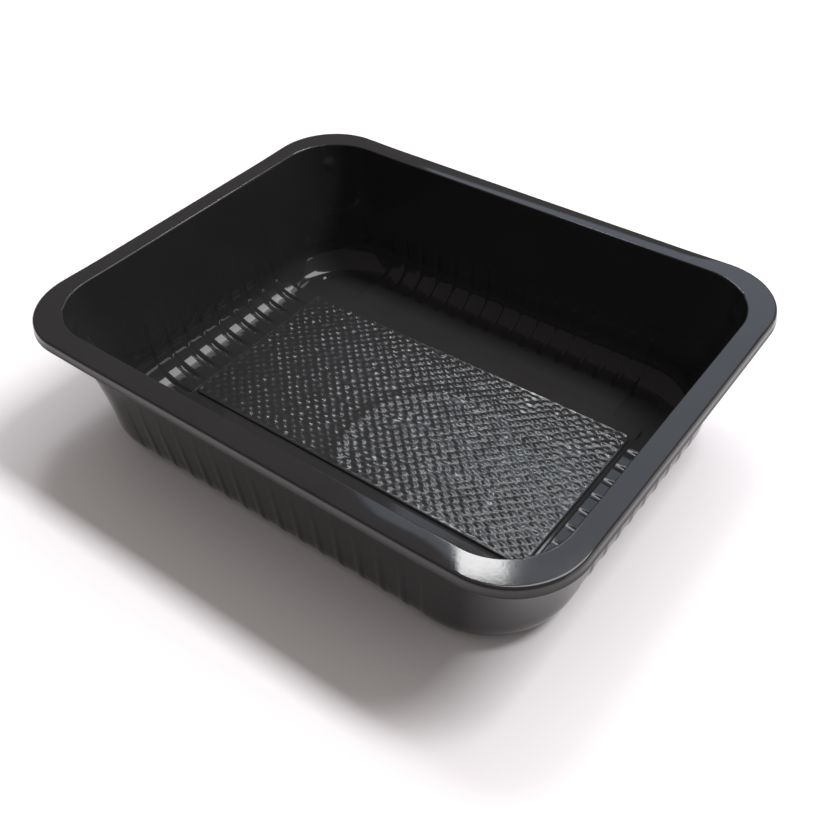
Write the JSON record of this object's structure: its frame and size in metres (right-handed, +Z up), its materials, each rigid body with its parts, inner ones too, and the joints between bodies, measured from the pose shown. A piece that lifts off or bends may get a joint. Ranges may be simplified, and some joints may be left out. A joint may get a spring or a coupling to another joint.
{
  "type": "plastic meat tray",
  "caption": "Deep rectangular food tray formed from thin black plastic, with a flat sealing flange, a turned-down lip, a ribbed foot and a raised textured panel in its floor.",
  "frame": {"origin": "middle of the base, on the plane that the tray stands on", "axes": "+X along the long sides, +Y along the short sides, +Z up out of the well"},
  "size_m": [0.227, 0.178, 0.057],
  "materials": {
    "black_plastic": "glossy formed sheet, the floor panel embossed with a fine diamond weave"
  },
  "bodies": {
    "root": {"tray": "black_plastic"}
  },
  "joints": []
}
